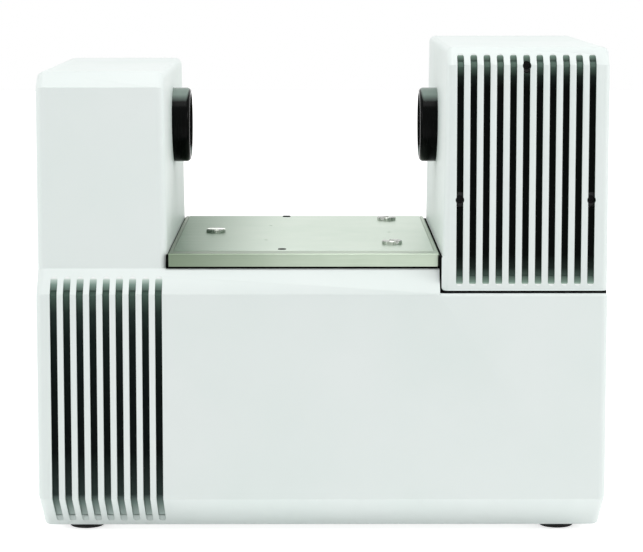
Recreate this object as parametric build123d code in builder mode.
"""Benchtop FTIR spectrometer with an open sample compartment between two towers.

X runs to the right seen from the front, Y to the back and Z up. The origin lies on the
table under the middle of the footprint. All sizes are millimetres.
"""

import os
from math import cos, hypot, radians, sin, sqrt, tan

from build123d import *

os.makedirs("parts", exist_ok=True)

# Body cover
body_width = 436.0
body_depth = 280.0
foot_height = 4.8
bevel_top_z = 34.0
bevel_depth = 40.0
ledge_z = 193.0
deck_z = 211.0
chamfer_depth = 15.0
wall = 3.5
corner_radius = 6.0
bottom_radius = 2.5
ledge_radius = 2.0

# Left tower
tower_width = 99.6
tower_top_z = 361.0
tower_bevel_depth = 12.0
tower_bevel_height = 11.5
side_draft = 0.8

# Detector module on the right
module_width = 126.2
module_bottom_z = 195.0
module_top_z = 380.0
module_setback = 5.0
module_bevel_depth = 12.0
module_bevel_height = 13.0
module_radius = 5.0
module_side_gap = 1.8

# Ventilation slots
vent_pitch = 10.0
body_vent_width = 5.4
body_vent_count = 9
body_vent_first_x = -204.5
body_vent_top_z = 205.5
body_vent_bottom_z = 9.5
body_vent_ramp = 17.5
module_vent_width = 5.2
module_vent_count = 11
module_vent_top_drop = 5.0
module_vent_bottom_z = 199.0
module_vent_ramp = 7.0
access_bore_radius = 3.3
upper_access_drop = 13.6
lower_access_z = 264.4

# Fits and clearances
fit_gap = 0.3
slip_gap = 0.1
running_gap = 0.02

# Beam line
beam_y = 3.5
port_z = 312.4
bench_beam_z = 86.0

# Port rings and windows
ring_radius = 30.0
ring_reach = 14.0
ring_edge_radius = 3.5
ring_step_radius = 25.5
ring_step_depth = 2.5
ring_step_taper = 1.0
ring_mouth_taper = 2.0
ring_bore_radius = 21.0
ring_hub_radius = 26.0
ring_hub_length = 8.0
window_radius = 24.0
window_thickness = 4.0
window_lip = 1.0
retainer_width = 3.0

# Sample compartment
sheet = 1.2
tray_setback = 14.0
tray_top_z = 222.5
tray_lip_lift = 1.0
tray_corner = 1.4
tray_side_clearance = 0.4
tray_back_setback = 0.5
border_front = 15.7
border_side = 3.2
plate_proud = 0.2
plate_edge = 1.0
seat_radius = 8.0
seat_height = 3.0
seat_groove_width = 5.0
seat_edge = 0.6
seat_left_inset = 31.9
seat_rear_inset = 33.4
seat_front_inset = 34.4
seat_left_y = 15.7
seat_rear_y = 104.9
seat_front_y = -66.0
plate_slot_width = 6.5
plate_slot_length = 9.0
front_slot_place = (-30.8, -99.0)
rear_slot_x = -29.7
pin_hole_radius = 1.5
pin_hole_depth = 6.0
pin_hole_places = [(-42.3, 63.0), (-44.4, -39.0)]
pin_hole_inset = 33.7
post_radius = 7.0
post_inset = 18.0
post_front_y = -103.0
post_rear_y = 108.0
post_clearance = 1.0

# Base pan, feet and rear panel
pan_thickness = 2.5
flange_height = 20.0
foot_radius = 16.5
foot_base_radius = 13.0
foot_recess_radius = 5.5
foot_recess_depth = 2.6
foot_inset_x = 32.0
foot_inset_y = 60.0
screw_radius = 2.0
screw_head_radius = 4.0
screw_head_height = 2.0
panel_thickness = 2.0
panel_setback = 3.5
rear_vent_count = 12
rear_vent_pitch = 9.0
rear_vent_width = 3.5
rear_vent_length = 60.0
rear_vent_first_x = 60.0
rear_vent_z = 110.0
connector_z = 58.0

# Mains inlet, power switch and network jack
inlet_width = 27.0
inlet_height = 20.0
inlet_depth = 20.0
inlet_flange = 2.5
inlet_flange_thickness = 2.0
socket_width = 22.0
socket_height = 15.0
socket_depth = 16.0
pin_width = 2.0
pin_height = 4.0
pin_spread = 7.0
pin_rise = 2.0
switch_x = -128.0
switch_width = 14.0
switch_height = 22.0
switch_depth = 16.0
switch_wall = 1.5
switch_proud = 1.0
rocker_height = 17.0
rocker_thickness = 7.0
rocker_crest = 2.0
trunnion_radius = 1.5
trunnion_gap = 0.05
jack_x = -92.0
jack_width = 16.0
jack_height = 14.0
jack_depth = 14.0
jack_socket_width = 11.8
jack_socket_height = 8.0
jack_socket_depth = 12.0

# Optics base
isolator_radius = 12.0
isolator_waist = 9.0
base_bottom_z = 22.0
base_thickness = 12.0
base_left_x = -125.0
base_right_x = 205.0
base_front_y = -113.0
base_back_y = 121.0
base_wing_left_x = -207.0
base_wing_width = 67.0
base_corner_radius = 6.0
base_edge = 1.0
isolator_places = [(-108.0, -80.0), (-108.0, 85.0), (186.0, -80.0), (190.0, 30.0)]

# Interferometer
splitter_x = 40.0
arm_length = 70.0
hub_height = 40.0
hub_radius = 16.0
bearing_radius = 11.0
bearing_width = 7.0
bearing_shoulder = 2.0
bearing_lip = 2.0
shaft_radius = 4.0
boss_radius = 12.0
thrust_ring_radius = 6.0
thrust_ring_height = 2.0
thrust_gap = 0.05
shaft_engagement = 12.0
clip_thickness = 1.0
clip_radius = 6.5
shaft_edge = 0.5
shaft_tip = 3.0
arm_width = 12.0
arm_depth = 20.0
cup_radius = 27.0
cup_wall = 3.0
cup_length = 32.0
cup_front = 14.0
cube_height = 22.0
coil_arm_length = 40.0
coil_outer_radius = 14.0
coil_inner_radius = 10.0
coil_length = 14.0
coil_former = 2.0
coil_arm_width = 10.0
coil_air_gap = 2.0
coil_travel_gap = 4.0
yoke_depth = 21.0
yoke_wall = 4.0
yoke_back = 4.0
bracket_thickness = 6.0
bracket_width = 36.0
bracket_foot = 20.0
splitter_radius = 25.0
splitter_thickness = 6.0
splitter_lip = 2.0
splitter_frame_width = 64.0
splitter_frame_thickness = 10.0
splitter_frame_rise = 32.0
splitter_foot_depth = 24.0
splitter_foot_height = 8.0

# Source, laser and mirrors
source_mirror_y = 65.5
source_focus = 22.5
mirror_radius = 22.0
mirror_back = 29.5
laser_hole_radius = 2.0
source_housing_radius = 18.0
source_cavity_radius = 12.0
source_cavity_depth = 20.0
source_housing_length = 34.0
emitter_radius = 3.0
emitter_length = 14.0
source_foot_width = 18.0
sink_base = 5.0
sink_depth = 24.0
sink_width = 40.0
sink_height = 50.0
sink_fins = 7
sink_fin_thickness = 1.6
laser_radius = 9.0
laser_length = 26.0
clamp_width = 26.0
clamp_depth = 12.0
clamp_rise = 14.0
post_block_width = 20.0
fold_x = -168.0
fold_radius = 28.0
fold_thickness = 6.0
fold_mount_width = 50.0
fold_mount_drop = 36.0
tower_bracket_thickness = 6.0
tower_bracket_width = 46.0
detector_focus = 25.0
detector_mirror_x = 165.0
detector_mirror_radius = 20.0
detector_mirror_back = 31.0
detector_radius = 8.0
detector_height = 10.0
detector_flange = 1.5
detector_flange_height = 2.0
detector_shelf = 12.0
detector_shelf_width = 40.0
detector_bracket_width = 60.0
detector_bracket_top_z = 345.0
board_thickness = 1.6
spacer_radius = 3.0
preamp_spacer = 4.0
preamp_width = 50.0
preamp_height = 70.0
preamp_z = 290.0
main_board_width = 145.0
main_board_depth = 120.0
main_board_x = -12.0
main_board_y = 5.0
main_board_drop = 20.0
supply_width = 78.0
supply_depth = 66.0
supply_height = 60.0
supply_x = -169.0
supply_y = 72.0
supply_edge = 2.0
supply_vent_count = 7
supply_vent_pitch = 8.0
supply_vent_width = 3.0
supply_vent_depth = 2.0
desiccant_radius = 24.0
desiccant_height = 95.0
desiccant_edge = 3.0
desiccant_place = (172.0, 84.0)
screen_gap = 0.6
screen_thickness = 1.5
frame_thickness = 3.0
frame_rail = 16.0
boss_outer_radius = 5.5
boss_length = 8.0
boss_seat = 2.0
cable_window_width = 60.0
cable_window_depth = 40.0
cable_window_radius = 5.0
seat_plate_grip = 3.0
module_screw_shank = 14.0

# Places worked out from the sizes above
left_x = -body_width / 2
right_x = body_width / 2
front_y = -body_depth / 2
back_y = body_depth / 2
tower_side_x = left_x + tower_width
module_left_x = right_x - module_width
deck_right_x = module_left_x - module_side_gap
tower_front_y = front_y + chamfer_depth
module_front_y = front_y + module_setback
pan_top_z = foot_height + pan_thickness
bevel_height = bevel_top_z - foot_height
bevel_foot = wall * hypot(bevel_depth, bevel_height) / bevel_height
inner_left_x = left_x + wall
inner_right_x = right_x - wall
base_top_z = base_bottom_z + base_thickness
plate_bottom_z = deck_z
plate_top_z = tray_top_z + plate_proud
panel_back_y = back_y - panel_setback
panel_front_y = panel_back_y - panel_thickness
module_mid_x = (module_left_x + right_x) / 2
module_vent_top_z = module_top_z - module_vent_top_drop
upper_access_z = module_top_z - upper_access_drop
module_vent_first_x = module_mid_x - vent_pitch * (module_vent_count - 1) / 2
body_vent_xs = [body_vent_first_x + vent_pitch * i for i in range(body_vent_count)]
module_vent_xs = [module_vent_first_x + vent_pitch * i for i in range(module_vent_count)]
access_places = [
    (module_mid_x, upper_access_z),
    (module_vent_xs[0], lower_access_z),
    (module_vent_xs[-1], lower_access_z),
]
tower_side = Plane(
    origin=(tower_side_x, 0, deck_z),
    x_dir=(0, 1, 0),
    z_dir=(cos(radians(side_draft)), 0, sin(radians(side_draft))),
)
module_side = Plane(
    origin=(module_left_x, 0, module_bottom_z),
    x_dir=(0, 1, 0),
    z_dir=(-cos(radians(side_draft)), 0, sin(radians(side_draft))),
)
seat_places = [
    (tower_side_x + seat_left_inset, seat_left_y),
    (deck_right_x - seat_rear_inset, seat_rear_y),
    (deck_right_x - seat_front_inset, seat_front_y),
]
hole_places = [*pin_hole_places, (deck_right_x - pin_hole_inset, seat_left_y)]
post_places = [
    (x, y)
    for x in (tower_side_x + post_inset, deck_right_x - post_inset)
    for y in (post_front_y, post_rear_y)
]
run_out = 10.0
tower_port_x = tower_side_x - (port_z - deck_z) * tan(radians(side_draft))
module_port_x = module_left_x + (port_z - module_bottom_z) * tan(radians(side_draft))


def save(piece, name):
    """Label a finished piece and write its file."""
    piece.label = name
    export_step(piece, f"parts/{name}.step")


# Side outlines
def body_outline(chamfered, beyond=0.0):
    """Side view of the body, its open bottom and back carried out by beyond."""
    lean = bevel_depth / bevel_height
    outline = [
        (front_y + bevel_depth + lean * beyond, foot_height - beyond),
        (front_y, bevel_top_z),
        (front_y, ledge_z),
    ]
    if chamfered:
        outline += [(tower_front_y, deck_z), (back_y + beyond, deck_z)]
    else:
        outline += [(back_y + beyond, ledge_z)]
    return outline + [(back_y + beyond, foot_height - beyond)]


def block_outline(block_front_y, bottom_z, top_z, bevel_y, bevel_z, beyond=0.0):
    """Side view of a tower, its open bottom carried out by beyond."""
    return [
        (block_front_y, bottom_z - beyond),
        (block_front_y, top_z - bevel_z),
        (block_front_y + bevel_y, top_z),
        (back_y, top_z),
        (back_y, bottom_z - beyond),
    ]


def side_prism(outline, from_x, to_x, inset=0.0):
    """Solid between two X places with the given side view, drawn in by inset."""
    with BuildPart() as prism:
        with BuildSketch(Plane.YZ.offset(from_x)):
            with BuildLine():
                Polyline(outline, close=True)
            make_face()
            if inset:
                offset(amount=-inset, kind=Kind.INTERSECTION)
        extrude(amount=to_x - from_x)
    return prism.part


def vent_cutter(side_view, width, top_z, bottom_z):
    """Cutter of one slot: a side view with run-outs, rounded at both ends in front view."""
    with BuildPart() as cutter:
        with BuildSketch(Plane.YZ.offset(-width / 2)):
            with BuildLine():
                Polyline(side_view, close=True)
            make_face()
        extrude(amount=width)
        with BuildSketch(Plane.XZ.offset(-front_y + run_out)):
            with Locations((0, (top_z + bottom_z) / 2)):
                SlotOverall(top_z - bottom_z, width, rotation=90)
        extrude(amount=-body_depth, mode=Mode.INTERSECT)
    return cutter.part


# Body cover: one moulding with a stepped deck, vented at its left front
body_vent_top_y = front_y + chamfer_depth * (body_vent_top_z - ledge_z) / (deck_z - ledge_z)
body_vent_bottom_y = front_y + bevel_depth * (bevel_top_z - body_vent_bottom_z) / bevel_height
body_vent = vent_cutter(
    [
        (front_y - run_out, body_vent_top_z),
        (body_vent_top_y, body_vent_top_z),
        (front_y + wall, body_vent_top_z - body_vent_ramp),
        (body_vent_top_y, body_vent_top_z - body_vent_ramp),
        (body_vent_top_y, bevel_top_z + run_out),
        (body_vent_bottom_y, bevel_top_z + run_out),
        (body_vent_bottom_y, body_vent_bottom_z),
        (front_y - run_out, body_vent_bottom_z),
    ],
    body_vent_width,
    body_vent_top_z,
    body_vent_bottom_z,
)
left_cavity = side_prism(
    body_outline(True, run_out), inner_left_x, deck_right_x - wall, wall
)
right_cavity = side_prism(
    body_outline(False, run_out), deck_right_x - wall, inner_right_x, wall
)

deck_block = side_prism(body_outline(True), left_x, deck_right_x)
ledge_block = side_prism(body_outline(False), deck_right_x, right_x)

with BuildPart() as main_cover:
    add(deck_block)
    add(ledge_block)
    front_edges = ShapeList()
    for side_face in (
        main_cover.faces().filter_by(Axis.X).sort_by(Axis.X)[0],
        main_cover.faces().filter_by(Axis.X).sort_by(Axis.X)[-1],
    ):
        front_edges += side_face.edges().filter_by(
            lambda edge: edge.center().Y < front_y + bevel_depth and edge.center().Z < deck_z
        )
    fillet(front_edges, corner_radius)
    ledge_face = main_cover.faces().filter_by(
        lambda face: abs(face.center().Z - ledge_z) < slip_gap
        and face.center().X > deck_right_x
    )[0]
    fillet(
        ledge_face.edges().filter_by(
            lambda edge: edge.center().Y < back_y - slip_gap
            and edge.center().X > deck_right_x + slip_gap
        ),
        ledge_radius,
    )
    fillet(
        main_cover.faces().sort_by(Axis.Z)[0].edges().filter_by(Axis.Y),
        bottom_radius,
    )
    add(left_cavity, mode=Mode.SUBTRACT)
    add(right_cavity, mode=Mode.SUBTRACT)
    with Locations([(x, 0, 0) for x in body_vent_xs]):
        add(body_vent, mode=Mode.SUBTRACT)
    # Light shaft under the tower and cable window under the module
    with BuildSketch(Plane.XY.offset(deck_z)):
        with Locations((fold_x - fold_radius / 6, beam_y)):
            Rectangle(3 * fold_radius, 3 * fold_radius)
        with Locations(post_places):
            Circle(post_radius + post_clearance)
    extrude(amount=-2 * wall, mode=Mode.SUBTRACT)
    with BuildSketch(Plane.XY.offset(ledge_z)):
        with Locations((module_mid_x, beam_y)):
            RectangleRounded(cable_window_width, cable_window_depth, cable_window_radius)
    extrude(amount=-2 * wall, mode=Mode.SUBTRACT)
save(main_cover.part, "main_cover")


# Left tower: a drafted cover, closed at its back and open below
def drafted_cover(outline_args, draft_plane, radius, keep_low_x):
    """Hollow cover whose side towards the sample leans by the draft."""
    spread = run_out
    low_x = left_x if keep_low_x else module_left_x - spread
    high_x = tower_side_x + spread if keep_low_x else right_x
    inner_low_x = low_x + wall if keep_low_x else low_x
    inner_high_x = high_x if keep_low_x else high_x - wall
    cavity = side_prism(
        block_outline(*outline_args, beyond=run_out), inner_low_x, inner_high_x, wall
    )
    cavity = split(cavity, bisect_by=draft_plane.offset(-wall), keep=Keep.BOTTOM)
    block = side_prism(block_outline(*outline_args), low_x, high_x)
    with BuildPart() as cover:
        add(block)
        split(bisect_by=draft_plane, keep=Keep.BOTTOM)
        bottom_z = outline_args[1]
        ends = cover.faces().filter_by(lambda face: abs(face.normal_at().X) > 0.9)
        upper_edges = ShapeList()
        for end in ends:
            upper_edges += end.edges().filter_by(
                lambda edge: edge.center().Z > bottom_z + slip_gap
            )
        upper_edges += cover.faces().sort_by(Axis.Y)[-1].edges().sort_by(Axis.Z)[-1:]
        fillet(upper_edges, radius)
        add(cavity, mode=Mode.SUBTRACT)
    return cover.part


tower_outline = (tower_front_y, deck_z, tower_top_z, tower_bevel_depth, tower_bevel_height)
tower_blank = drafted_cover(tower_outline, tower_side, corner_radius, True)
with BuildPart() as tower_cover:
    add(tower_blank)
    with BuildSketch(Plane.YZ.offset(tower_port_x - 2 * wall)):
        with Locations((beam_y, port_z)):
            Circle(ring_hub_radius + slip_gap)
    extrude(amount=4 * wall, mode=Mode.SUBTRACT)
save(tower_cover.part, "tower_cover")

# Detector module cover, vented over its whole front
module_vent_top_y = module_front_y + module_bevel_depth * (
    module_vent_top_z - module_top_z + module_bevel_height
) / module_bevel_height
ramp_slope = module_vent_ramp / wall
module_vent = vent_cutter(
    [
        (module_front_y - run_out, module_vent_top_z),
        (module_vent_top_y, module_vent_top_z),
        (
            module_vent_top_y,
            module_vent_bottom_z + ramp_slope * (module_vent_top_y - module_front_y),
        ),
        (module_front_y - run_out, module_vent_bottom_z - ramp_slope * run_out),
    ],
    module_vent_width,
    module_vent_top_z,
    module_vent_bottom_z,
)
module_outline = (
    module_front_y, module_bottom_z, module_top_z, module_bevel_depth, module_bevel_height,
)
module_inner_y = module_front_y + wall
module_blank = drafted_cover(module_outline, module_side, module_radius, False)
with BuildPart() as module_cover:
    add(module_blank)
    # Screw bosses behind the access holes
    with BuildSketch(Plane.XZ.offset(-module_inner_y)):
        with Locations(access_places):
            Circle(boss_outer_radius)
    extrude(amount=-boss_length)
    with Locations([(x, 0, 0) for x in module_vent_xs]):
        add(module_vent, mode=Mode.SUBTRACT)
    with BuildSketch(Plane.XZ.offset(-module_front_y + run_out)):
        with Locations(access_places):
            Circle(access_bore_radius)
    extrude(amount=-(run_out + wall + boss_length - boss_seat), mode=Mode.SUBTRACT)
    with BuildSketch(Plane.XZ.offset(-module_front_y + run_out)):
        with Locations(access_places):
            Circle(screw_radius + slip_gap)
    extrude(amount=-(run_out + wall + boss_length + run_out), mode=Mode.SUBTRACT)
    with BuildSketch(Plane.YZ.offset(module_port_x - 2 * wall)):
        with Locations((beam_y, port_z)):
            Circle(ring_hub_radius + slip_gap)
    extrude(amount=4 * wall, mode=Mode.SUBTRACT)
save(module_cover.part, "module_cover")


# Seat plate that carries the module above the ledge
with BuildPart() as module_seat:
    with BuildSketch(Plane.XY.offset(ledge_z)):
        with Locations((module_left_x + wall + fit_gap, module_inner_y + fit_gap)):
            Rectangle(
                module_width - 2 * (wall + fit_gap),
                back_y - module_inner_y - wall - 2 * fit_gap,
                align=(Align.MIN, Align.MIN),
            )
        with Locations((module_mid_x, beam_y)):
            RectangleRounded(
                cable_window_width,
                cable_window_depth,
                cable_window_radius,
                mode=Mode.SUBTRACT,
            )
    extrude(amount=module_bottom_z - ledge_z + seat_plate_grip)
save(module_seat.part, "module_seat")

# Port rings: turned flanges with a hub through the cover and a window inside
def port_ring(side, port):
    """Flange seated on the leaning side wall, with its hub through the wall."""
    section_plane = Plane(
        origin=port.origin, x_dir=(0, 0, 1), z_dir=Vector(0, 0, 1).cross(port.z_dir)
    )
    with BuildPart() as flange:
        with BuildSketch(section_plane) as section:
            with BuildLine():
                Polyline(
                    (ring_bore_radius, -run_out),
                    (ring_radius, -run_out),
                    (ring_radius, ring_reach),
                    (ring_step_radius, ring_reach),
                    (ring_step_radius - ring_step_taper, ring_reach - ring_step_depth),
                    (ring_bore_radius + ring_mouth_taper, ring_reach - ring_step_depth),
                    (ring_bore_radius, ring_reach - 2 * ring_step_depth),
                    close=True,
                )
            make_face()
        revolve(axis=Axis(port.origin, port.z_dir))
        rim = flange.edges().filter_by(GeomType.CIRCLE).filter_by(
            lambda edge: abs(edge.radius - ring_radius) < slip_gap
            and (edge.arc_center - port.origin).dot(port.z_dir) > 0
        )
        fillet(rim, ring_edge_radius)
    seated = split(flange.part, bisect_by=side, keep=Keep.TOP)
    with BuildPart(port) as ring:
        Cylinder(ring_hub_radius, ring_hub_length, align=(Align.CENTER, Align.CENTER, Align.MAX))
        Cylinder(ring_hub_radius, wall, align=(Align.CENTER, Align.CENTER, Align.MIN))
        Cylinder(ring_bore_radius, 4 * ring_hub_length, mode=Mode.SUBTRACT)
        with Locations((0, 0, -window_lip)):
            Cylinder(
                window_radius + slip_gap,
                ring_hub_length,
                align=(Align.CENTER, Align.CENTER, Align.MAX),
                mode=Mode.SUBTRACT,
            )
    return ring.part + seated


def port_window(port):
    """Disc seated on the ring's inner lip."""
    with BuildPart(port.offset(-window_lip)) as disc:
        Cylinder(window_radius, window_thickness, align=(Align.CENTER, Align.CENTER, Align.MAX))
        chamfer(disc.edges().filter_by(GeomType.CIRCLE), slip_gap * 3)
    return disc.part


def port_retainer(port):
    """Threaded ring behind the window."""
    with BuildPart(port.offset(-window_lip - window_thickness)) as retainer:
        Cylinder(window_radius, retainer_width, align=(Align.CENTER, Align.CENTER, Align.MAX))
        Cylinder(ring_bore_radius, 4 * retainer_width, mode=Mode.SUBTRACT)
    return retainer.part


ports = {
    "left": (tower_side, Plane(origin=(tower_port_x, beam_y, port_z), z_dir=(1, 0, 0))),
    "right": (module_side, Plane(origin=(module_port_x, beam_y, port_z), z_dir=(-1, 0, 0))),
}
for side_name, (side_plane, port_plane) in ports.items():
    save(port_ring(side_plane, port_plane), f"port_ring_{side_name}")

window_pair = [port_window(port_plane) for side_plane, port_plane in ports.values()]
with BuildPart() as port_windows:
    add(window_pair)
save(port_windows.part, "port_windows")

retainer_pair = [port_retainer(port_plane) for side_plane, port_plane in ports.values()]
with BuildPart() as window_retainers:
    add(retainer_pair)
save(window_retainers.part, "window_retainers")

# Sample tray: bent sheet frame, open at its back, over the shoulder of the plate
tray_left_x = tower_side_x + tray_side_clearance
tray_right_x = deck_right_x
tray_front_y = front_y + tray_setback
tray_back_y = back_y - tray_back_setback
tray_bottom_z = deck_z + tray_lip_lift
tray_width = tray_right_x - tray_left_x
tray_length = tray_back_y - tray_front_y
tray_mid_x = (tray_left_x + tray_right_x) / 2
with BuildPart() as sample_tray:
    with BuildSketch(Plane.XY.offset(tray_bottom_z)):
        with Locations((tray_mid_x, tray_front_y)):
            Rectangle(tray_width, tray_length, align=(Align.CENTER, Align.MIN))
    extrude(amount=tray_top_z - tray_bottom_z)
    fillet(sample_tray.edges().filter_by(Axis.Z).group_by(Axis.Y)[0], tray_corner)
    fillet(
        sample_tray.faces().sort_by(Axis.Z)[-1].edges().filter_by(
            lambda edge: edge.center().Y < tray_back_y - slip_gap
        ),
        tray_corner,
    )
    with BuildSketch(Plane.XY.offset(tray_bottom_z)):
        with Locations((tray_mid_x, tray_front_y + sheet)):
            RectangleRounded(
                tray_width - 2 * sheet,
                2 * tray_length,
                tray_corner - sheet,
                align=(Align.CENTER, Align.MIN),
            )
    extrude(amount=tray_top_z - sheet - tray_bottom_z, mode=Mode.SUBTRACT)
    with BuildSketch(Plane.XY.offset(tray_bottom_z)):
        with Locations((tray_mid_x, tray_front_y + border_front)):
            Rectangle(tray_width - 2 * border_side, tray_length, align=(Align.CENTER, Align.MIN))
    extrude(amount=2 * (tray_top_z - tray_bottom_z), mode=Mode.SUBTRACT)
save(sample_tray.part, "sample_tray")

# Accessory plate on its four posts, with a raised field inside the tray
shoulder_z = tray_top_z - sheet
plate_width = tray_width - 2 * (sheet + fit_gap)
plate_front_y = tray_front_y + sheet + fit_gap
plate_back_y = tray_back_y - fit_gap
field_width = tray_width - 2 * (border_side + fit_gap)
field_front_y = tray_front_y + border_front + fit_gap
rear_slot_y = plate_back_y
with BuildPart() as accessory_plate:
    with BuildSketch(Plane.XY.offset(plate_bottom_z)):
        with Locations((tray_mid_x, plate_front_y)):
            Rectangle(plate_width, plate_back_y - plate_front_y, align=(Align.CENTER, Align.MIN))
    extrude(amount=shoulder_z - plate_bottom_z)
    chamfer(
        accessory_plate.faces().sort_by(Axis.Z)[-1].edges().sort_by(Axis.Y)[:-1],
        plate_edge,
    )
    with BuildSketch(Plane.XY.offset(shoulder_z)):
        with Locations((tray_mid_x, field_front_y)):
            Rectangle(field_width, plate_back_y - field_front_y, align=(Align.CENTER, Align.MIN))
    extrude(amount=plate_top_z - shoulder_z)
    with BuildSketch(Plane.XY.offset(plate_top_z)):
        with Locations(front_slot_place):
            SlotOverall(plate_slot_length, plate_slot_width, rotation=90)
        with Locations((rear_slot_x, rear_slot_y)):
            SlotOverall(2 * plate_slot_length, plate_slot_width, rotation=90)
    extrude(amount=-(plate_top_z - plate_bottom_z) / 2, mode=Mode.SUBTRACT)
    with Locations([(x, y, plate_top_z) for x, y in hole_places]):
        Hole(pin_hole_radius, pin_hole_depth)
save(accessory_plate.part, "accessory_plate")

# Kinematic seats: discs grooved towards the middle of their triangle
seat_mid_x = sum(x for x, y in seat_places) / len(seat_places)
seat_mid_y = sum(y for x, y in seat_places) / len(seat_places)
seat_discs = []
for seat_x, seat_y in seat_places:
    groove_plane = Plane(
        origin=(seat_x, seat_y, plate_top_z),
        x_dir=(seat_mid_x - seat_x, seat_mid_y - seat_y, 0),
        z_dir=(0, 0, 1),
    )
    with BuildPart(groove_plane) as seat:
        Cylinder(seat_radius, seat_height, align=(Align.CENTER, Align.CENTER, Align.MIN))
        chamfer(seat.faces().sort_by(Axis.Z)[-1].edges(), seat_edge)
        with Locations((0, 0, seat_height)):
            Box(
                3 * seat_radius,
                seat_groove_width / sqrt(2),
                seat_groove_width / sqrt(2),
                rotation=(45, 0, 0),
                mode=Mode.SUBTRACT,
            )
    seat_discs.append(seat.part)
with BuildPart() as kinematic_seats:
    add(seat_discs)
save(kinematic_seats.part, "kinematic_seats")

# Base pan with side flanges, closing the body from below
foot_places = [
    (sx * (body_width / 2 - foot_inset_x), sy * (body_depth / 2 - foot_inset_y))
    for sx in (-1, 1)
    for sy in (-1, 1)
]
pan_width = body_width - 2 * (wall + fit_gap)
pan_front_y = front_y + bevel_depth + bevel_foot + fit_gap
pan_length = panel_back_y - pan_front_y
with BuildPart() as base_pan:
    with BuildSketch(Plane.XY.offset(foot_height)):
        with Locations((0, pan_front_y)):
            Rectangle(pan_width, pan_length, align=(Align.CENTER, Align.MIN))
    extrude(amount=flange_height)
    with BuildSketch(Plane.XY.offset(pan_top_z)):
        with Locations((0, pan_front_y)):
            Rectangle(
                pan_width - 2 * pan_thickness, 3 * pan_length, align=(Align.CENTER, Align.CENTER)
            )
    extrude(amount=flange_height, mode=Mode.SUBTRACT)
    # Room for the rear panel, which stands on the pan
    with BuildSketch(Plane.XY.offset(pan_top_z)):
        with Locations((0, panel_front_y - fit_gap)):
            Rectangle(body_width, run_out, align=(Align.CENTER, Align.MIN))
    extrude(amount=flange_height, mode=Mode.SUBTRACT)
    with BuildSketch(Plane.XY.offset(foot_height)):
        with Locations(foot_places):
            Circle(screw_radius + slip_gap)
    extrude(amount=2 * pan_thickness, mode=Mode.SUBTRACT)
save(base_pan.part, "base_pan")

# Rubber feet with a recessed screw each
with BuildPart() as foot:
    Cone(foot_base_radius, foot_radius, foot_height, align=(Align.CENTER, Align.CENTER, Align.MIN))
    fillet(foot.faces().sort_by(Axis.Z)[0].edges(), foot_height / 3)
    Cylinder(foot_recess_radius, 2 * foot_recess_depth, mode=Mode.SUBTRACT)
    Cylinder(screw_radius + slip_gap, 4 * foot_height, mode=Mode.SUBTRACT)
with BuildPart() as feet:
    with Locations([(x, y, 0) for x, y in foot_places]):
        add(foot.part)
save(feet.part, "feet")

with BuildPart() as foot_screws:
    for foot_x, foot_y in foot_places:
        with Locations((foot_x, foot_y, foot_recess_depth)):
            Cylinder(
                screw_head_radius,
                screw_head_height,
                align=(Align.CENTER, Align.CENTER, Align.MAX),
            )
            Cylinder(
                screw_radius,
                pan_top_z - foot_recess_depth,
                align=(Align.CENTER, Align.CENTER, Align.MIN),
            )
save(foot_screws.part, "foot_screws")

# Rear panel with its connectors
inlet_x = supply_x


def back_plane(x):
    """Plane on the outside of the rear panel at a connector's middle, its z to the back."""
    return Plane(origin=(x, panel_back_y, connector_z), x_dir=(1, 0, 0), z_dir=(0, 1, 0))


with BuildPart() as rear_panel:
    with BuildSketch(Plane.XZ.offset(-panel_back_y)):
        with BuildLine():
            Polyline(
                (inner_left_x + fit_gap, pan_top_z),
                (inner_right_x - fit_gap, pan_top_z),
                (inner_right_x - fit_gap, ledge_z - wall - fit_gap),
                (deck_right_x - wall - fit_gap, ledge_z - wall - fit_gap),
                (deck_right_x - wall - fit_gap, deck_z - wall - fit_gap),
                (inner_left_x + fit_gap, deck_z - wall - fit_gap),
                close=True,
            )
        make_face()
        with Locations((inlet_x, connector_z)):
            Rectangle(inlet_width + fit_gap, inlet_height + fit_gap, mode=Mode.SUBTRACT)
        with Locations((switch_x, connector_z)):
            Rectangle(switch_width + fit_gap, switch_height + fit_gap, mode=Mode.SUBTRACT)
        with Locations((jack_x, connector_z)):
            Rectangle(jack_width + fit_gap, jack_height + fit_gap, mode=Mode.SUBTRACT)
        with Locations(
            [(rear_vent_first_x + rear_vent_pitch * i, rear_vent_z) for i in range(rear_vent_count)]
        ):
            SlotOverall(rear_vent_length, rear_vent_width, rotation=90, mode=Mode.SUBTRACT)
    extrude(amount=panel_thickness)
save(rear_panel.part, "rear_panel")

with BuildPart(back_plane(inlet_x)) as inlet:
    Box(
        inlet_width + 2 * inlet_flange,
        inlet_height + 2 * inlet_flange,
        inlet_flange_thickness,
        align=(Align.CENTER, Align.CENTER, Align.MIN),
    )
    Box(inlet_width, inlet_height, inlet_depth, align=(Align.CENTER, Align.CENTER, Align.MAX))
    with Locations((0, 0, inlet_flange_thickness)):
        Box(
            socket_width,
            socket_height,
            socket_depth,
            align=(Align.CENTER, Align.CENTER, Align.MAX),
            mode=Mode.SUBTRACT,
        )
save(inlet.part, "power_inlet")

with BuildPart(back_plane(inlet_x)) as inlet_pins:
    pin_root = inlet_flange_thickness - socket_depth
    with Locations(
        (-pin_spread, pin_rise, pin_root), (0, -pin_rise, pin_root), (pin_spread, pin_rise, pin_root)
    ):
        Box(
            pin_width,
            pin_height,
            socket_depth - inlet_flange_thickness,
            align=(Align.CENTER, Align.CENTER, Align.MIN),
        )
save(inlet_pins.part, "inlet_pins")

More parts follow.
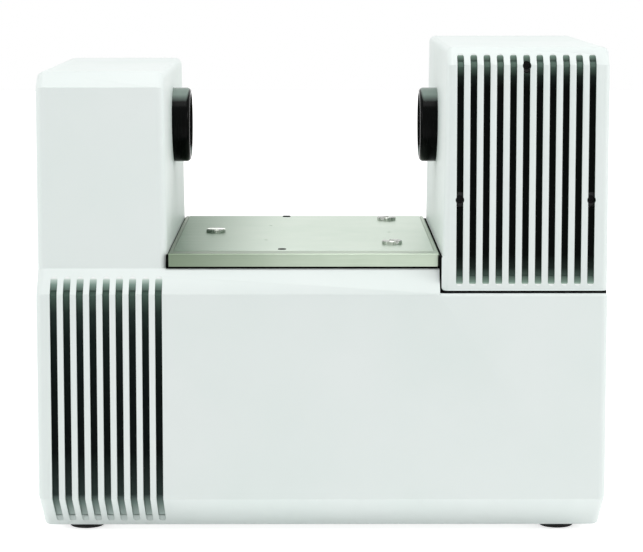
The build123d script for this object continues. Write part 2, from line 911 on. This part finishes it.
with BuildPart(back_plane(switch_x)) as switch:
    Box(
        switch_width + 2 * switch_wall,
        switch_height + 2 * switch_wall,
        switch_proud,
        align=(Align.CENTER, Align.CENTER, Align.MIN),
    )
    Box(switch_width, switch_height, switch_depth, align=(Align.CENTER, Align.CENTER, Align.MAX))
    with Locations((0, 0, switch_proud)):
        Box(
            switch_width - 2 * switch_wall,
            switch_height - 2 * switch_wall,
            switch_depth - 2 * switch_wall,
            align=(Align.CENTER, Align.CENTER, Align.MAX),
            mode=Mode.SUBTRACT,
        )
    with Locations(Location((0, 0, -rocker_thickness / 2), (0, 90, 0))):
        Cylinder(trunnion_radius + trunnion_gap, 2 * switch_width, mode=Mode.SUBTRACT)
save(switch.part, "power_switch_housing")

with BuildPart(back_plane(jack_x)) as network_jack:
    Box(
        jack_width + 2 * switch_wall,
        jack_height + 2 * switch_wall,
        switch_proud,
        align=(Align.CENTER, Align.CENTER, Align.MIN),
    )
    Box(jack_width, jack_height, jack_depth, align=(Align.CENTER, Align.CENTER, Align.MAX))
    with Locations((0, 0, switch_proud)):
        Box(
            jack_socket_width,
            jack_socket_height,
            jack_socket_depth,
            align=(Align.CENTER, Align.CENTER, Align.MAX),
            mode=Mode.SUBTRACT,
        )
save(network_jack.part, "network_jack")

# Rocker on its trunnions
rocker_width = switch_width - 2 * (switch_wall + fit_gap)
rocker_half = rocker_height / 2
with BuildPart() as power_rocker:
    with BuildSketch(Plane.YZ.offset(switch_x - rocker_width / 2)):
        with BuildLine():
            Polyline(
                (panel_back_y + rocker_crest, connector_z + rocker_half),
                (panel_back_y + rocker_crest - switch_proud, connector_z),
                (panel_back_y + rocker_crest, connector_z - rocker_half),
                (panel_back_y - switch_proud, connector_z - rocker_half),
                (panel_back_y - rocker_thickness, connector_z - rocker_half / 2),
                (panel_back_y - rocker_thickness, connector_z + rocker_half / 2),
                (panel_back_y - switch_proud, connector_z + rocker_half),
                close=True,
            )
        make_face()
    extrude(amount=rocker_width)
    with BuildSketch(Plane.YZ.offset(switch_x - switch_width / 2)):
        with Locations((panel_back_y - rocker_thickness / 2, connector_z)):
            Circle(trunnion_radius)
    extrude(amount=switch_width)
save(power_rocker.part, "power_rocker")

# Screens behind the slots: thin black sheets just inside the walls
outer_screen = side_prism(
    body_outline(True, run_out),
    inner_left_x + fit_gap,
    body_vent_xs[-1] + vent_pitch,
    wall + screen_gap,
)
inner_screen = side_prism(
    body_outline(True, run_out),
    inner_left_x,
    body_vent_xs[-1] + 2 * vent_pitch,
    wall + screen_gap + screen_thickness,
)
screen_back_y = pan_front_y - fit_gap
with BuildPart() as body_screen:
    add(outer_screen)
    add(inner_screen, mode=Mode.SUBTRACT)
    with BuildSketch(Plane.XY.offset(pan_top_z)):
        with Locations((0, front_y)):
            Rectangle(body_width, screen_back_y - front_y, align=(Align.CENTER, Align.MIN))
    extrude(amount=deck_z - 2 * wall - pan_top_z, mode=Mode.INTERSECT)
save(body_screen.part, "body_screen")

module_frame_y = module_inner_y + boss_length
module_frame_bottom_z = module_bottom_z + seat_plate_grip
module_frame_top_z = upper_access_z + wall
module_frame_left_x = module_left_x + wall + 3 * fit_gap + (
    module_frame_top_z - module_bottom_z
) * tan(radians(side_draft))
module_frame_right_x = inner_right_x - fit_gap
module_frame_width = module_frame_right_x - module_frame_left_x
module_frame_mid_x = (module_frame_left_x + module_frame_right_x) / 2
module_screen_outer = side_prism(
    block_outline(*module_outline, beyond=run_out),
    module_frame_left_x,
    module_frame_right_x,
    wall + screen_gap,
)
module_screen_inner = side_prism(
    block_outline(*module_outline, beyond=run_out),
    module_frame_left_x,
    module_frame_right_x,
    wall + screen_gap + screen_thickness,
)
with BuildPart() as module_screen:
    add(module_screen_outer)
    add(module_screen_inner, mode=Mode.SUBTRACT)
    with BuildSketch(Plane.XY.offset(module_frame_bottom_z)):
        with Locations((module_frame_mid_x, module_front_y)):
            Rectangle(
                module_frame_width,
                module_bevel_depth + 2 * wall,
                align=(Align.CENTER, Align.MIN),
            )
    extrude(amount=module_top_z - module_frame_bottom_z, mode=Mode.INTERSECT)
    with BuildSketch(Plane.XZ.offset(-module_front_y)):
        with Locations(access_places):
            Circle(boss_outer_radius + fit_gap)
    extrude(amount=-(module_bevel_depth + 2 * wall), mode=Mode.SUBTRACT)
save(module_screen.part, "module_screen")

# Upright frame that the module cover is screwed to
with BuildPart() as module_frame:
    with BuildSketch(Plane.XZ.offset(-module_frame_y)):
        with Locations((module_frame_mid_x, module_frame_bottom_z)):
            Rectangle(
                module_frame_width,
                module_frame_top_z - module_frame_bottom_z,
                align=(Align.CENTER, Align.MIN),
            )
            with Locations((0, frame_rail)):
                Rectangle(
                    module_frame_width - 2 * frame_rail,
                    module_frame_top_z - module_frame_bottom_z - 2 * frame_rail,
                    align=(Align.CENTER, Align.MIN),
                    mode=Mode.SUBTRACT,
                )
        with Locations(access_places):
            Circle(screw_radius, mode=Mode.SUBTRACT)
    extrude(amount=-frame_thickness)
save(module_frame.part, "module_frame")

with BuildPart() as module_screws:
    screw_seat_y = module_frame_y - boss_seat
    with BuildSketch(Plane.XZ.offset(-screw_seat_y)):
        with Locations(access_places):
            Circle(access_bore_radius - slip_gap)
    extrude(amount=screw_head_height)
    with BuildSketch(Plane.XZ.offset(-screw_seat_y)):
        with Locations(access_places):
            Circle(screw_radius)
    extrude(amount=-module_screw_shank)
    with BuildSketch(Plane.XZ.offset(-screw_seat_y + screw_head_height)):
        with Locations(access_places):
            RegularPolygon(screw_radius, 6)
    extrude(amount=-screw_head_height / 2, mode=Mode.SUBTRACT)
save(module_screws.part, "module_screws")

# Optics base: cast plate with a wing under the tower, on four isolators
with BuildPart() as optics_base:
    with BuildSketch(Plane.XY.offset(base_bottom_z)):
        with Locations((base_left_x, base_front_y)):
            Rectangle(
                base_right_x - base_left_x,
                base_back_y - base_front_y,
                align=(Align.MIN, Align.MIN),
            )
        with Locations((base_wing_left_x, beam_y)):
            Rectangle(
                base_left_x - base_wing_left_x, base_wing_width, align=(Align.MIN, Align.CENTER)
            )
    extrude(amount=base_thickness)
    fillet(optics_base.edges().filter_by(Axis.Z), base_corner_radius)
    chamfer(optics_base.faces().sort_by(Axis.Z)[-1].edges(), base_edge)
    # Pivot boss with its thrust ring, bored for the shaft
    pivot_x = splitter_x + arm_length
    pivot_y = beam_y - arm_length
    hub_bottom_z = bench_beam_z - hub_height / 2
    hub_top_z = bench_beam_z + hub_height / 2
    thrust_z = hub_bottom_z + bearing_shoulder - thrust_gap
    boss_top_z = thrust_z - thrust_ring_height
    with Locations((pivot_x, pivot_y, base_top_z)):
        Cylinder(
            boss_radius, boss_top_z - base_top_z, align=(Align.CENTER, Align.CENTER, Align.MIN)
        )
        Cylinder(
            thrust_ring_radius,
            thrust_z - base_top_z,
            align=(Align.CENTER, Align.CENTER, Align.MIN),
        )
    with Locations((pivot_x, pivot_y, thrust_z)):
        Cylinder(
            shaft_radius,
            shaft_engagement,
            align=(Align.CENTER, Align.CENTER, Align.MAX),
            mode=Mode.SUBTRACT,
        )
save(optics_base.part, "optics_base")

with BuildPart() as isolators:
    for place_x, place_y in isolator_places:
        isolator_height = base_bottom_z - pan_top_z
        with BuildSketch(
            Plane(origin=(place_x, place_y, pan_top_z), x_dir=(1, 0, 0), z_dir=(0, -1, 0))
        ):
            with BuildLine():
                side_line = ThreePointArc(
                    (isolator_radius, 0),
                    (isolator_waist, isolator_height / 2),
                    (isolator_radius, isolator_height),
                )
                Polyline(side_line @ 1, (0, isolator_height), (0, 0), side_line @ 0)
            make_face()
        revolve(axis=Axis((place_x, place_y, 0), (0, 0, 1)))
save(isolators.part, "isolators")

with BuildPart() as plate_posts:
    with BuildSketch(Plane.XY.offset(base_top_z)):
        with Locations(post_places):
            Circle(post_radius)
    extrude(amount=plate_bottom_z - base_top_z)
save(plate_posts.part, "plate_posts")

# Pivot shaft, its bearings and its retaining clip
with BuildPart(Plane(origin=(pivot_x, pivot_y, thrust_z - shaft_engagement))) as pivot_shaft:
    shaft_top_z = hub_top_z - bearing_shoulder + shaft_tip
    Cylinder(
        shaft_radius,
        shaft_top_z - thrust_z + shaft_engagement,
        align=(Align.CENTER, Align.CENTER, Align.MIN),
    )
    chamfer(pivot_shaft.edges().filter_by(GeomType.CIRCLE).sort_by(Axis.Z)[-1:], shaft_edge)
save(pivot_shaft.part, "pivot_shaft")

bearing_bottoms = [
    hub_bottom_z + bearing_shoulder,
    hub_top_z - bearing_shoulder - bearing_width,
]
with BuildPart() as pivot_bearings:
    for bearing_bottom_z in bearing_bottoms:
        with BuildSketch(Plane.XY.offset(bearing_bottom_z)):
            with Locations((pivot_x, pivot_y)):
                Circle(bearing_radius)
                Circle(shaft_radius + running_gap, mode=Mode.SUBTRACT)
        extrude(amount=bearing_width)
save(pivot_bearings.part, "pivot_bearings")

clip_bottom_z = hub_top_z - bearing_shoulder + thrust_gap
with BuildPart() as pivot_clip:
    with BuildSketch(Plane.XY.offset(clip_bottom_z)):
        with Locations((pivot_x, pivot_y)):
            Circle(clip_radius)
            Circle(shaft_radius, mode=Mode.SUBTRACT)
    extrude(amount=clip_thickness)
save(pivot_clip.part, "pivot_clip")

# Scan arm: a hub with two cups at right angles and a third arm for the coil
left_cup_plane = Plane(origin=(splitter_x, pivot_y, bench_beam_z), z_dir=(0, 1, 0))
rear_cup_plane = Plane(origin=(pivot_x, beam_y, bench_beam_z), z_dir=(-1, 0, 0))
coil_line = (cos(radians(-45)), sin(radians(-45)))
coil_push = (-coil_line[1], coil_line[0])
coil_end = coil_arm_length + coil_inner_radius
with BuildPart() as scan_arm:
    with BuildSketch(Plane.XY.offset(bench_beam_z - arm_depth / 2)):
        with Locations((pivot_x, pivot_y)):
            Rectangle(arm_length - cup_radius / 2, arm_width, align=(Align.MAX, Align.CENTER))
            Rectangle(arm_width, arm_length - cup_front, align=(Align.CENTER, Align.MIN))
        with Locations(Location((pivot_x, pivot_y), -45)):
            Rectangle(coil_end, coil_arm_width, align=(Align.MIN, Align.CENTER))
    extrude(amount=arm_depth)
    with Locations((pivot_x, pivot_y, bench_beam_z)):
        Cylinder(hub_radius, hub_height)
    for cup_plane in (left_cup_plane, rear_cup_plane):
        with BuildSketch(cup_plane.offset(cup_front)):
            Circle(cup_radius)
        extrude(amount=-cup_length)
        with BuildSketch(cup_plane.offset(cup_front)):
            Circle(cup_radius - cup_wall)
        extrude(amount=-(cup_length - cup_wall), mode=Mode.SUBTRACT)
    with BuildSketch(Plane.XY.offset(hub_bottom_z + bearing_shoulder)):
        with Locations((pivot_x, pivot_y)):
            Circle(bearing_radius)
    extrude(amount=hub_height - 2 * bearing_shoulder, mode=Mode.SUBTRACT)
    with BuildSketch(Plane.XY.offset(hub_bottom_z)):
        with Locations((pivot_x, pivot_y)):
            Circle(bearing_radius - bearing_lip)
    extrude(amount=hub_height, mode=Mode.SUBTRACT)
save(scan_arm.part, "scan_arm")

# Corner cubes: three mirror faces at right angles about the beam
corner = Plane(origin=(0, 0, 0), x_dir=(1, -1, 0), z_dir=(1, 1, 1)).location.inverse() * Box(
    4 * cup_radius, 4 * cup_radius, 4 * cup_radius, align=(Align.MIN, Align.MIN, Align.MIN)
)
cube_floor = cup_front - cup_length + cup_wall
cube_body_height = cup_length - cup_wall - 2 * fit_gap
for cube_name, cup_plane in (("left", left_cup_plane), ("rear", rear_cup_plane)):
    with BuildPart(cup_plane.offset(cube_floor)) as cube:
        Cylinder(
            cup_radius - cup_wall - slip_gap,
            cube_body_height,
            align=(Align.CENTER, Align.CENTER, Align.MIN),
        )
        with Locations((0, 0, cube_body_height - cube_height)):
            add(corner, mode=Mode.SUBTRACT)
    save(cube.part, f"corner_cube_{cube_name}")

# Voice coil on the third arm, in a cup magnet on a bracket
coil_origin = (
    pivot_x + coil_arm_length * coil_line[0],
    pivot_y + coil_arm_length * coil_line[1],
    bench_beam_z,
)
coil_plane = Plane(origin=coil_origin, x_dir=(*coil_line, 0), z_dir=(*coil_push, 0))
coil_root = coil_arm_width / 2
with BuildPart(coil_plane.offset(coil_root)) as voice_coil:
    Cylinder(coil_outer_radius, coil_length, align=(Align.CENTER, Align.CENTER, Align.MIN))
    with Locations((0, 0, coil_former)):
        Cylinder(
            coil_inner_radius,
            coil_length,
            align=(Align.CENTER, Align.CENTER, Align.MIN),
            mode=Mode.SUBTRACT,
        )
save(voice_coil.part, "voice_coil")

yoke_inner = coil_outer_radius + coil_air_gap
with BuildPart(coil_plane.offset(coil_root + coil_travel_gap)) as voice_coil_magnet:
    Cylinder(
        yoke_inner + yoke_wall, yoke_depth, align=(Align.CENTER, Align.CENTER, Align.MIN)
    )
    Cylinder(
        yoke_inner,
        yoke_depth - yoke_back,
        align=(Align.CENTER, Align.CENTER, Align.MIN),
        mode=Mode.SUBTRACT,
    )
    with Locations((0, 0, coil_air_gap)):
        Cylinder(
            coil_inner_radius - coil_air_gap,
            yoke_depth - coil_air_gap,
            align=(Align.CENTER, Align.CENTER, Align.MIN),
        )
save(voice_coil_magnet.part, "voice_coil_magnet")

bracket_plane = coil_plane.offset(coil_root + coil_travel_gap + yoke_depth)
bracket_floor = base_top_z - bench_beam_z
with BuildPart(bracket_plane) as magnet_bracket:
    # The plane's x runs along the third arm and its y runs down
    with Locations((0, -bracket_floor, 0)):
        Box(
            bracket_width,
            yoke_inner + yoke_wall - bracket_floor,
            bracket_thickness,
            align=(Align.CENTER, Align.MAX, Align.MIN),
        )
        Box(
            bracket_width,
            bracket_thickness,
            bracket_foot,
            align=(Align.CENTER, Align.MAX, Align.MIN),
        )
save(magnet_bracket.part, "magnet_bracket")

# Beamsplitter at 45 degrees in its frame
splitter_plane = Plane(
    origin=(splitter_x, beam_y, bench_beam_z),
    x_dir=(-sqrt(0.5), sqrt(0.5), 0),
    z_dir=(sqrt(0.5), sqrt(0.5), 0),
)
splitter_floor = base_top_z - bench_beam_z
with BuildPart() as splitter_mount:
    with BuildSketch(splitter_plane.offset(-splitter_frame_thickness / 2)):
        with Locations((0, splitter_floor)):
            Rectangle(
                splitter_frame_width,
                splitter_frame_rise - splitter_floor,
                align=(Align.CENTER, Align.MIN),
            )
        Circle(splitter_radius - splitter_lip, mode=Mode.SUBTRACT)
    extrude(amount=splitter_frame_thickness)
    with BuildSketch(splitter_plane.offset(splitter_thickness - splitter_frame_thickness / 2)):
        Circle(splitter_radius)
    extrude(amount=-splitter_thickness, mode=Mode.SUBTRACT)
    with BuildSketch(splitter_plane.offset(-splitter_foot_depth / 2)):
        with Locations((0, splitter_floor)):
            Rectangle(
                splitter_frame_width, splitter_foot_height, align=(Align.CENTER, Align.MIN)
            )
    extrude(amount=splitter_foot_depth)
save(splitter_mount.part, "splitter_mount")

with BuildPart() as beamsplitter:
    with BuildSketch(splitter_plane.offset(splitter_thickness - splitter_frame_thickness / 2)):
        Circle(splitter_radius)
    extrude(amount=-splitter_thickness)
save(beamsplitter.part, "beamsplitter")


# Off-axis mirrors: blanks cut by a paraboloid about the focus
def off_axis_mirror(focus_plane, focus, radius, back):
    """Mirror whose focus is the plane's origin; x leads to the mirror and z to its back."""
    reach = 2 * focus + radius + focus / 2
    end = focus - reach**2 / (4 * focus)
    section = Plane(
        origin=focus_plane.origin,
        x_dir=focus_plane.x_dir,
        z_dir=focus_plane.x_dir.cross(focus_plane.z_dir),
    )
    with BuildPart() as dish:
        with BuildSketch(section):
            with BuildLine():
                Bezier((0, focus), (reach / 2, focus), (reach, end))
                Polyline((reach, end), (0, end), (0, focus))
            make_face()
        revolve(axis=Axis(focus_plane.origin, focus_plane.z_dir))
    with BuildPart() as mirror:
        with BuildSketch(focus_plane.offset(-back)):
            with Locations((2 * focus, 0)):
                Circle(radius)
        extrude(amount=2 * back)
        add(dish.part, mode=Mode.SUBTRACT)
    return mirror.part


source_focus_x = splitter_x + 2 * source_focus
source_plane = Plane(
    origin=(source_focus_x, source_mirror_y, bench_beam_z), x_dir=(-1, 0, 0), z_dir=(0, 1, 0)
)
source_blank = off_axis_mirror(source_plane, source_focus, mirror_radius, mirror_back)
with BuildPart() as source_mirror:
    add(source_blank)
    with BuildSketch(Plane.XZ.offset(-base_back_y)):
        with Locations((splitter_x, bench_beam_z)):
            Circle(laser_hole_radius)
    extrude(amount=body_depth / 2, mode=Mode.SUBTRACT)
    # Foot under the blank, down to the base
    with BuildSketch(Plane.XY.offset(base_top_z)):
        with Locations((splitter_x, source_mirror_y + mirror_back)):
            Rectangle(post_block_width, post_block_width / 2, align=(Align.CENTER, Align.MAX))
    extrude(amount=bench_beam_z - mirror_radius / 2 - base_top_z)
save(source_mirror.part, "source_mirror")

# Source: glowing rod in a housing that faces the mirror, with a finned sink behind
housing_plane = Plane(
    origin=(source_focus_x - source_cavity_depth / 3, source_mirror_y, bench_beam_z),
    x_dir=(0, 0, 1),
    z_dir=(1, 0, 0),
)
with BuildPart(housing_plane) as source_housing:
    Cylinder(
        source_housing_radius,
        source_housing_length,
        align=(Align.CENTER, Align.CENTER, Align.MIN),
    )
    with Locations((0, 0, source_housing_length)):
        Box(
            bench_beam_z - base_top_z,
            source_foot_width,
            source_foot_width,
            align=(Align.MAX, Align.CENTER, Align.MAX),
        )
    Cylinder(
        source_cavity_radius,
        source_cavity_depth,
        align=(Align.CENTER, Align.CENTER, Align.MIN),
        mode=Mode.SUBTRACT,
    )
save(source_housing.part, "source_housing")

with BuildPart(housing_plane.offset(source_cavity_depth)) as ir_emitter:
    Cylinder(emitter_radius, emitter_length, align=(Align.CENTER, Align.CENTER, Align.MAX))
save(ir_emitter.part, "ir_emitter")

with BuildPart(housing_plane.offset(source_housing_length)) as source_heat_sink:
    Box(sink_height, sink_width, sink_base, align=(Align.CENTER, Align.CENTER, Align.MIN))
    with GridLocations(1, (sink_width - sink_fin_thickness) / (sink_fins - 1), 1, sink_fins):
        Box(
            sink_height,
            sink_fin_thickness,
            sink_depth,
            align=(Align.CENTER, Align.CENTER, Align.MIN),
        )
save(source_heat_sink.part, "source_heat_sink")

# Reference laser behind the hole in the source mirror
laser_y = source_mirror_y + mirror_back + fit_gap
with BuildPart() as reference_laser:
    with BuildSketch(Plane.XZ.offset(-laser_y)):
        with Locations((splitter_x, bench_beam_z)):
            Circle(laser_radius)
            Circle(laser_hole_radius, mode=Mode.SUBTRACT)
    extrude(amount=-laser_length / 4)
    with BuildSketch(Plane.XZ.offset(-laser_y - laser_length / 4)):
        with Locations((splitter_x, bench_beam_z)):
            Circle(laser_radius)
    extrude(amount=-laser_length * 3 / 4)
save(reference_laser.part, "reference_laser")

with BuildPart() as laser_clamp:
    with BuildSketch(Plane.XZ.offset(-laser_y - (laser_length - clamp_depth) / 2)):
        with Locations((splitter_x, base_top_z)):
            Rectangle(
                clamp_width,
                bench_beam_z + clamp_rise - base_top_z,
                align=(Align.CENTER, Align.MIN),
            )
        with Locations((splitter_x, bench_beam_z)):
            Circle(laser_radius, mode=Mode.SUBTRACT)
    extrude(amount=-clamp_depth)
save(laser_clamp.part, "laser_clamp")

# Fold mirrors: one turns the beam up at the wing, the other out at the port
fold_back = fold_thickness * sqrt(2)
fold_left_x = fold_x - fold_radius
lower_plane = Plane(
    origin=(fold_x, beam_y, bench_beam_z), x_dir=(0, 1, 0), z_dir=(sqrt(0.5), 0, sqrt(0.5))
)
upper_plane = Plane(
    origin=(fold_x, beam_y, port_z), x_dir=(0, 1, 0), z_dir=(sqrt(0.5), 0, -sqrt(0.5))
)
for fold_name, fold_plane in (("lower", lower_plane), ("upper", upper_plane)):
    with BuildPart(fold_plane) as fold_mirror:
        Cylinder(fold_radius, fold_thickness, align=(Align.CENTER, Align.CENTER, Align.MAX))
    save(fold_mirror.part, f"fold_mirror_{fold_name}")

# Wedge mounts: their sloping faces pass through the backs of the mirrors
bracket_right_x = fold_left_x
lower_sum = fold_x + bench_beam_z - fold_back
lower_rise = lower_sum - bracket_right_x
with BuildPart() as lower_mirror_mount:
    with BuildSketch(Plane.XZ.offset(-beam_y + fold_mount_width / 2)):
        with BuildLine():
            Polyline(
                (bracket_right_x, base_top_z),
                (bracket_right_x, lower_rise),
                (lower_sum - base_top_z - fold_mount_drop / 2, base_top_z + fold_mount_drop / 2),
                (lower_sum - base_top_z - fold_mount_drop / 2, base_top_z),
                close=True,
            )
        make_face()
    extrude(amount=-fold_mount_width)
save(lower_mirror_mount.part, "lower_mirror_mount")

upper_difference = port_z - fold_x + fold_back
upper_top_z = port_z + fold_radius
with BuildPart() as upper_mirror_mount:
    with BuildSketch(Plane.XZ.offset(-beam_y + fold_mount_width / 2)):
        with BuildLine():
            Polyline(
                (bracket_right_x, upper_difference + bracket_right_x),
                (bracket_right_x, upper_top_z),
                (upper_top_z - upper_difference, upper_top_z),
                close=True,
            )
        make_face()
    extrude(amount=-fold_mount_width)
save(upper_mirror_mount.part, "upper_mirror_mount")

with BuildPart() as tower_bracket:
    with BuildSketch(Plane.XY.offset(base_top_z)):
        with Locations((bracket_right_x, beam_y)):
            Rectangle(
                tower_bracket_thickness, tower_bracket_width, align=(Align.MAX, Align.CENTER)
            )
    extrude(amount=upper_top_z - base_top_z)
save(tower_bracket.part, "tower_bracket")

# Detector side: mirror, detector and preamplifier on one bracket
module_floor_z = module_bottom_z + seat_plate_grip
detector_plane = Plane(
    origin=(detector_mirror_x, beam_y, port_z - 2 * detector_focus),
    x_dir=(0, 0, 1),
    z_dir=(1, 0, 0),
)
detector_mirror_part = off_axis_mirror(
    detector_plane, detector_focus, detector_mirror_radius, detector_mirror_back
)
save(detector_mirror_part, "detector_mirror")

detector_bracket_x = detector_mirror_x + detector_mirror_back
shelf_top_z = port_z - 2 * detector_focus - detector_height
with BuildPart() as detector_bracket:
    with BuildSketch(Plane.XY.offset(module_floor_z)):
        with Locations((detector_bracket_x, beam_y)):
            Rectangle(
                bracket_thickness, detector_bracket_width, align=(Align.MIN, Align.CENTER)
            )
    extrude(amount=detector_bracket_top_z - module_floor_z)
    with BuildSketch(Plane.XY.offset(shelf_top_z)):
        with Locations((detector_bracket_x, beam_y)):
            Rectangle(
                detector_mirror_back + 2 * detector_radius,
                detector_shelf_width,
                align=(Align.MAX, Align.CENTER),
            )
    extrude(amount=-detector_shelf)
    with BuildSketch(Plane.XY.offset(module_floor_z)):
        with Locations((detector_bracket_x, beam_y)):
            Rectangle(bracket_foot, detector_bracket_width, align=(Align.MAX, Align.CENTER))
    extrude(amount=bracket_thickness)
save(detector_bracket.part, "detector_bracket")

with BuildPart(Plane(origin=(detector_mirror_x, beam_y, shelf_top_z))) as detector:
    Cylinder(detector_radius, detector_height, align=(Align.CENTER, Align.CENTER, Align.MIN))
    Cylinder(
        detector_radius + detector_flange,
        detector_flange_height,
        align=(Align.CENTER, Align.CENTER, Align.MIN),
    )
save(detector.part, "detector")

preamp_plane = Plane(
    origin=(detector_bracket_x + bracket_thickness, beam_y, preamp_z),
    x_dir=(0, 1, 0),
    z_dir=(1, 0, 0),
)
preamp_grid = (preamp_width - 5 * spacer_radius, preamp_height - 5 * spacer_radius)
with BuildPart() as preamp_spacers:
    with BuildSketch(preamp_plane):
        with GridLocations(*preamp_grid, 2, 2):
            Circle(spacer_radius)
    extrude(amount=preamp_spacer)
save(preamp_spacers.part, "preamp_spacers")

with BuildPart() as preamp_board:
    with BuildSketch(preamp_plane.offset(preamp_spacer)):
        Rectangle(preamp_width, preamp_height)
    extrude(amount=board_thickness)
save(preamp_board.part, "preamp_board")

# Main board hung under the deck
board_plane = Plane(origin=(main_board_x, main_board_y, deck_z - wall), z_dir=(0, 0, -1))
board_grid = (main_board_width - 5 * spacer_radius, main_board_depth - 5 * spacer_radius)
with BuildPart() as board_spacers:
    with BuildSketch(board_plane):
        with GridLocations(*board_grid, 2, 2):
            Circle(spacer_radius)
    extrude(amount=main_board_drop)
save(board_spacers.part, "board_spacers")

chip_places = {(-40, 20): (30, 30, 3), (10, 25): (18, 18, 2.5), (45, -25): (24, 14, 9)}
with BuildPart() as main_board:
    with BuildSketch(board_plane.offset(main_board_drop)):
        Rectangle(main_board_width, main_board_depth)
    extrude(amount=board_thickness)
    for (chip_x, chip_y), (chip_width, chip_depth, chip_height) in chip_places.items():
        with BuildSketch(board_plane.offset(main_board_drop + board_thickness)):
            with Locations((chip_x, chip_y)):
                Rectangle(chip_width, chip_depth)
        extrude(amount=chip_height)
save(main_board.part, "main_board")

with BuildPart(Plane(origin=(supply_x, supply_y, pan_top_z))) as power_supply:
    Box(
        supply_width, supply_depth, supply_height, align=(Align.CENTER, Align.CENTER, Align.MIN)
    )
    fillet(power_supply.edges().filter_by(Axis.Z), supply_edge)
    with BuildSketch(Plane(origin=(supply_x, supply_y, pan_top_z + supply_height))):
        with GridLocations(supply_vent_pitch, 1, supply_vent_count, 1):
            SlotOverall(supply_depth / 2, supply_vent_width, rotation=90)
    extrude(amount=-supply_vent_depth, mode=Mode.SUBTRACT)
save(power_supply.part, "power_supply")

with BuildPart(Plane(origin=(*desiccant_place, base_top_z))) as desiccant_canister:
    Cylinder(
        desiccant_radius, desiccant_height, align=(Align.CENTER, Align.CENTER, Align.MIN)
    )
    fillet(desiccant_canister.edges().filter_by(GeomType.CIRCLE).sort_by(Axis.Z)[-1:], desiccant_edge)
save(desiccant_canister.part, "desiccant_canister")
